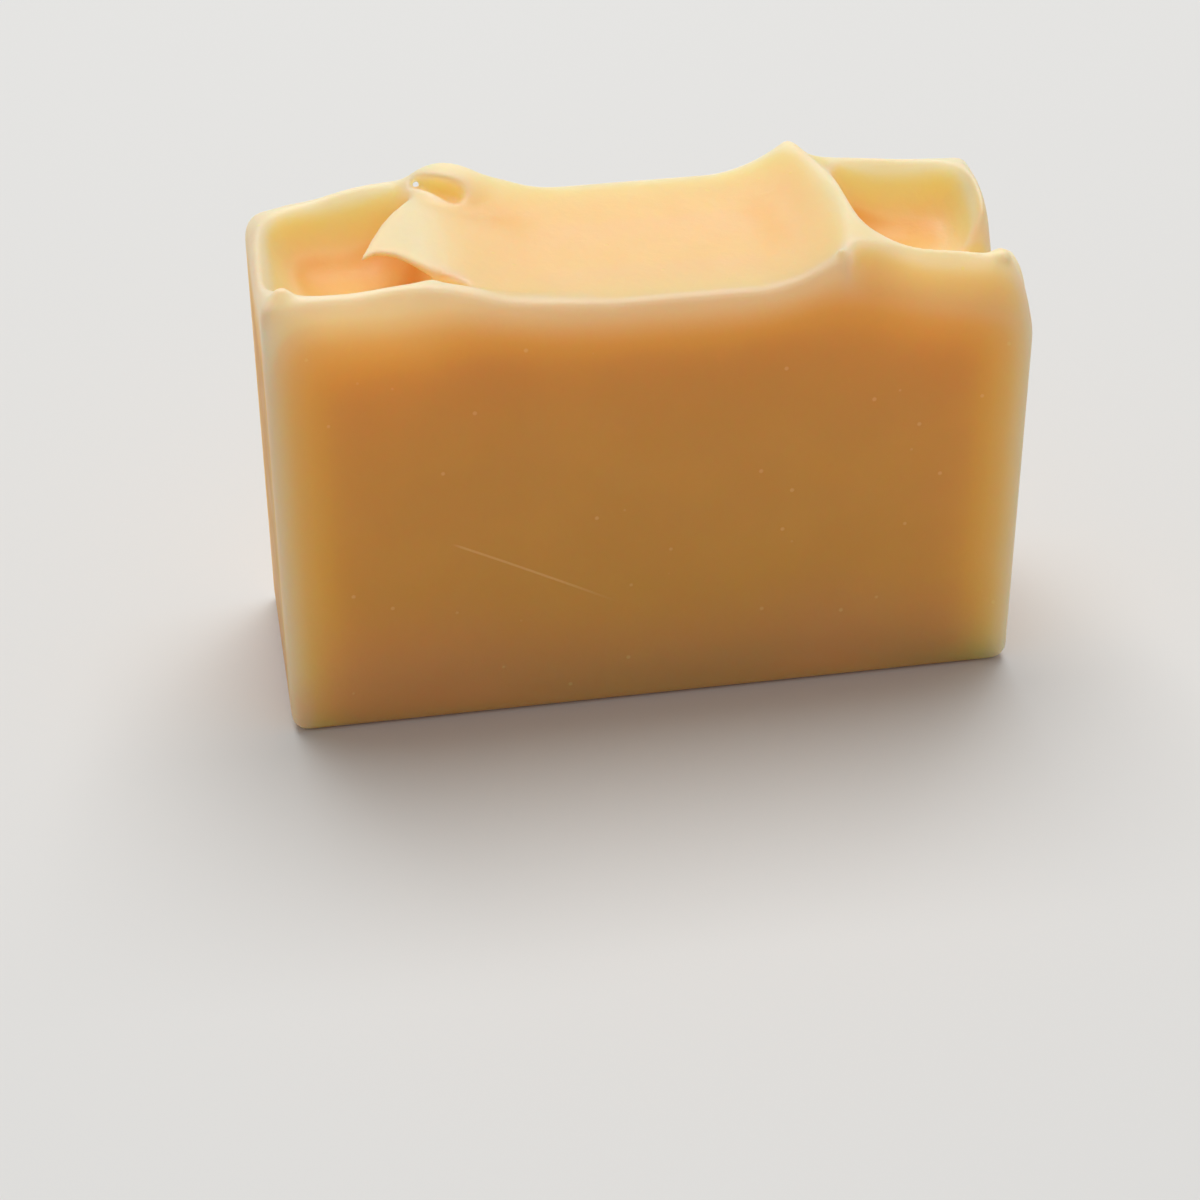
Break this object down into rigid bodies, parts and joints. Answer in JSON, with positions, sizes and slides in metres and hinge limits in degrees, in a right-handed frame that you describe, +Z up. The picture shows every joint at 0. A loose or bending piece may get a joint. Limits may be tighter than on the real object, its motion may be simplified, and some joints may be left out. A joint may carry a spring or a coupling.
{
  "type": "bar of soap",
  "caption": "Hand-cut bar of amber, waxy soap with flat cut faces and a free-form top: smooth channel, spooned hollows, bowed ridge and curled lips.",
  "frame": {"origin": "middle of the long narrow foot the bar stands on", "axes": "+X along the bar's length from the hollow with the overhanging tongue towards the bowed ridge, +Y through the slice from the front cut to the back cut, +Z up to the free-form top"},
  "size_m": [0.08, 0.028, 0.0541],
  "materials": {
    "soap": "waxy satin, lightly translucent"
  },
  "bodies": {
    "root": {"soap_bar": "soap"}
  },
  "joints": []
}
